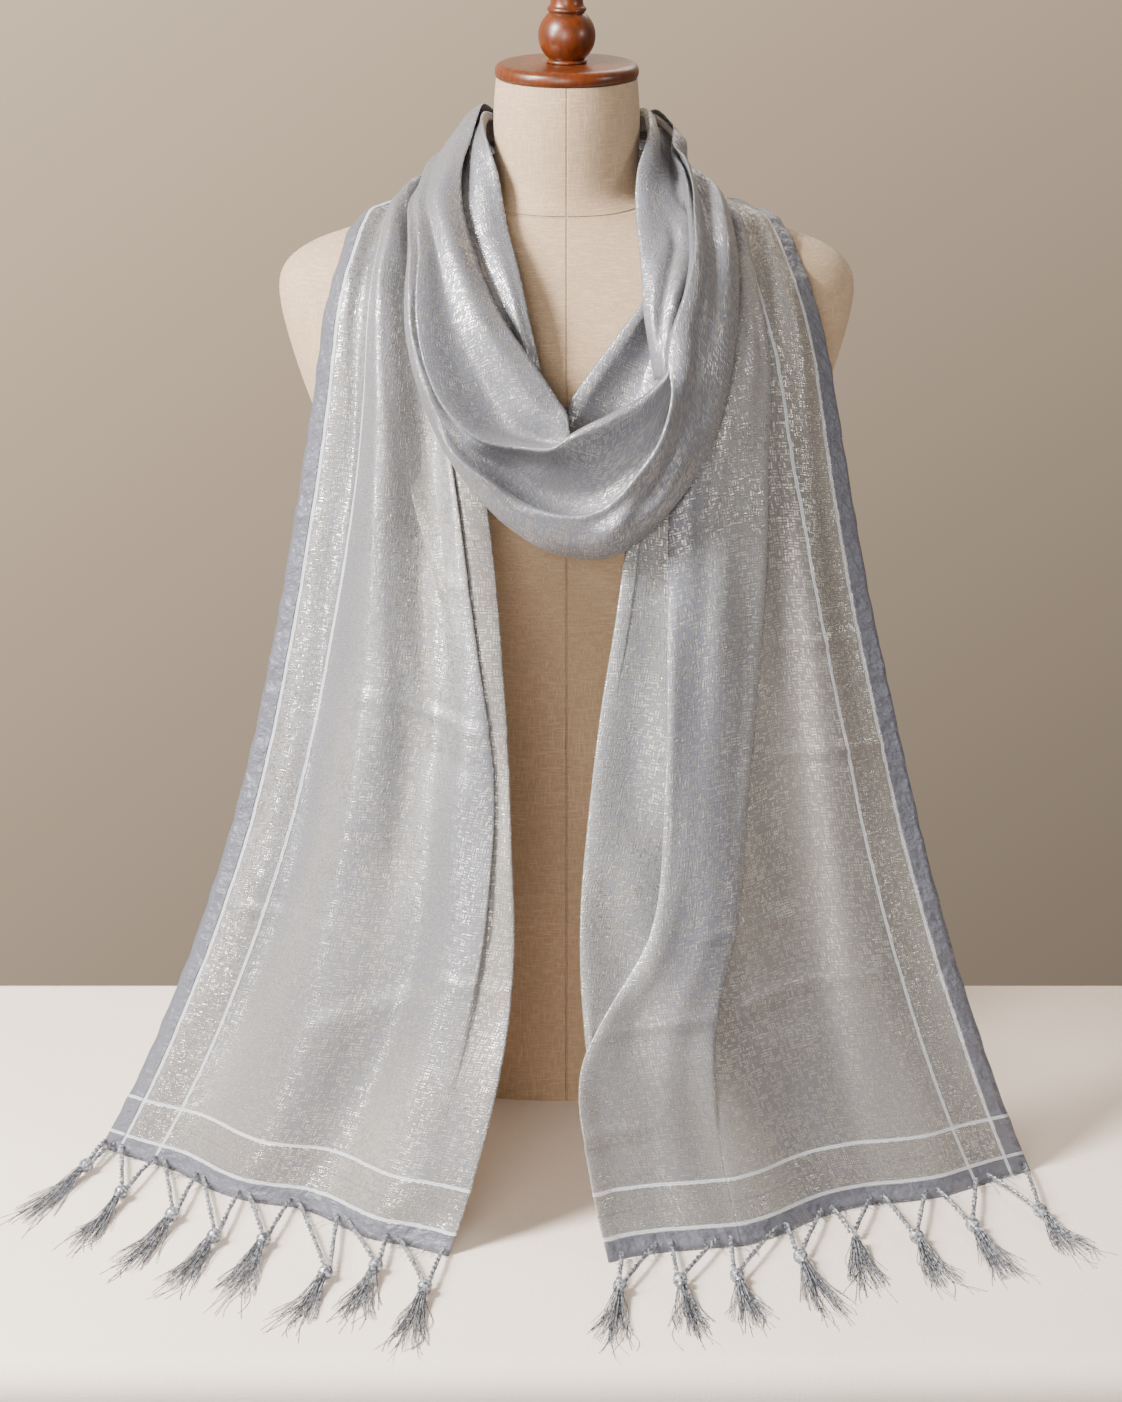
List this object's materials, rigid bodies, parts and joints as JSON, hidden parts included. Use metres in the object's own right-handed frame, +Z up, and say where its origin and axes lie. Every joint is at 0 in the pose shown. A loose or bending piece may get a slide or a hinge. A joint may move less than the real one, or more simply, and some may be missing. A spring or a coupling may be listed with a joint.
{
  "type": "dupatta stole on a limbless dress form",
  "caption": "Fringed silk dupatta stole wound round the neck of a linen dress form, with a cowl at the front and long ends that fall to the surface.",
  "frame": {"origin": "middle of the flat face under the dress form", "axes": "+Z up, -Y towards the front of the form, +X towards the viewer's right when the front is seen"},
  "size_m": [0.7483, 0.5698, 0.81],
  "materials": {
    "silk": "slubby silk and silver thread with a soft metallic sheen",
    "tassel_silk": "twisted and loose grey silk thread",
    "linen": "plain woven, matt",
    "wood": "turned and satin varnished"
  },
  "bodies": {
    "root": {"form_torso": "linen", "form_cap": "wood", "form_finial": "wood", "left_end": "silk", "right_end": "silk", "inner_left": "silk", "inner_right": "silk", "neck_strand": "silk", "cowl": "silk", "nape": "silk", "left_tassel_1": "tassel_silk", "left_tassel_2": "tassel_silk", "left_tassel_3": "tassel_silk", "left_tassel_4": "tassel_silk", "left_tassel_5": "tassel_silk", "left_tassel_6": "tassel_silk", "left_tassel_7": "tassel_silk", "left_tassel_8": "tassel_silk", "right_tassel_1": "tassel_silk", "right_tassel_2": "tassel_silk", "right_tassel_3": "tassel_silk", "right_tassel_4": "tassel_silk", "right_tassel_5": "tassel_silk", "right_tassel_6": "tassel_silk", "right_tassel_7": "tassel_silk", "right_tassel_8": "tassel_silk"}
  },
  "joints": []
}
